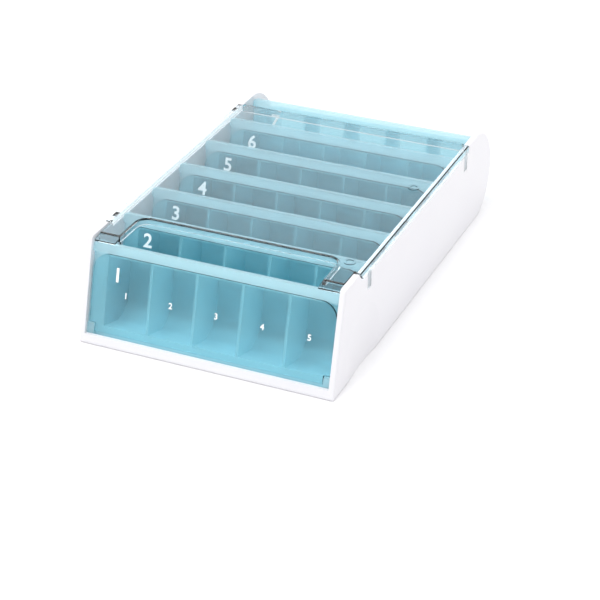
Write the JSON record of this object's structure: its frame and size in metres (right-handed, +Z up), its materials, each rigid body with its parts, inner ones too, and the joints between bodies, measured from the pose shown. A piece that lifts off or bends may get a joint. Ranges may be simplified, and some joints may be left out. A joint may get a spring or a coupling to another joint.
{
  "type": "weekly pill organizer",
  "caption": "Free-standing pill organizer: leaning compartment trays with front flaps in an open white rack under a clear lift-off cover.",
  "frame": {"origin": "middle of the rack's underside, on the surface that it stands on", "axes": "+X to the right along the front of the trays, +Y to the back of the rack, +Z up"},
  "size_m": [0.14, 0.2305, 0.054],
  "materials": {
    "rack": "white moulded plastic, satin gloss",
    "cover": "clear moulded plastic, polished",
    "tray": "translucent blue moulded plastic",
    "lid": "translucent blue moulded plastic, polished"
  },
  "bodies": {
    "rack": {"rack": "rack"},
    "clear_cover": {"clear_cover": "cover"},
    "monday_tray": {"monday_tray": "tray"},
    "monday_lid": {"monday_lid": "lid"},
    "tuesday_tray": {"tuesday_tray": "tray", "tuesday_lid": "lid"},
    "wednesday_tray": {"wednesday_tray": "tray", "wednesday_lid": "lid"},
    "thursday_tray": {"thursday_tray": "tray", "thursday_lid": "lid"},
    "friday_tray": {"friday_tray": "tray", "friday_lid": "lid"},
    "saturday_tray": {"saturday_tray": "tray", "saturday_lid": "lid"},
    "sunday_tray": {"sunday_tray": "tray", "sunday_lid": "lid"}
  },
  "joints": [
    {"name": "cover_lift", "type": "slide", "parent": "rack", "child": "clear_cover", "axis": [0, 0, 1], "range_m": [0, 0.13]},
    {"name": "monday_tray_lift", "type": "slide", "parent": "rack", "child": "monday_tray", "axis": [0, 0.2756, 0.9613], "range_m": [0, 0.06]},
    {"name": "tuesday_tray_lift", "type": "slide", "parent": "rack", "child": "tuesday_tray", "axis": [0, 0.2756, 0.9613], "range_m": [0, 0.06]},
    {"name": "wednesday_tray_lift", "type": "slide", "parent": "rack", "child": "wednesday_tray", "axis": [0, 0.2756, 0.9613], "range_m": [0, 0.06]},
    {"name": "thursday_tray_lift", "type": "slide", "parent": "rack", "child": "thursday_tray", "axis": [0, 0.2756, 0.9613], "range_m": [0, 0.06]},
    {"name": "friday_tray_lift", "type": "slide", "parent": "rack", "child": "friday_tray", "axis": [0, 0.2756, 0.9613], "range_m": [0, 0.06]},
    {"name": "saturday_tray_lift", "type": "slide", "parent": "rack", "child": "saturday_tray", "axis": [0, 0.2756, 0.9613], "range_m": [0, 0.06]},
    {"name": "sunday_tray_lift", "type": "slide", "parent": "rack", "child": "sunday_tray", "axis": [0, 0.2756, 0.9613], "range_m": [0, 0.06]},
    {"name": "monday_lid_hinge", "type": "hinge", "parent": "monday_tray", "child": "monday_lid", "pos_m": [0, -0.11058, 0.00695], "axis": [1, 0, 0], "range_deg": [0, 100]}
  ],
  "couplings": [
    {"joint": "monday_tray_lift", "follows": "cover_lift", "ratio": 0.45},
    {"joint": "tuesday_tray_lift", "follows": "cover_lift", "ratio": 0.45},
    {"joint": "wednesday_tray_lift", "follows": "cover_lift", "ratio": 0.45},
    {"joint": "thursday_tray_lift", "follows": "cover_lift", "ratio": 0.45},
    {"joint": "friday_tray_lift", "follows": "cover_lift", "ratio": 0.45},
    {"joint": "saturday_tray_lift", "follows": "cover_lift", "ratio": 0.45}
  ]
}
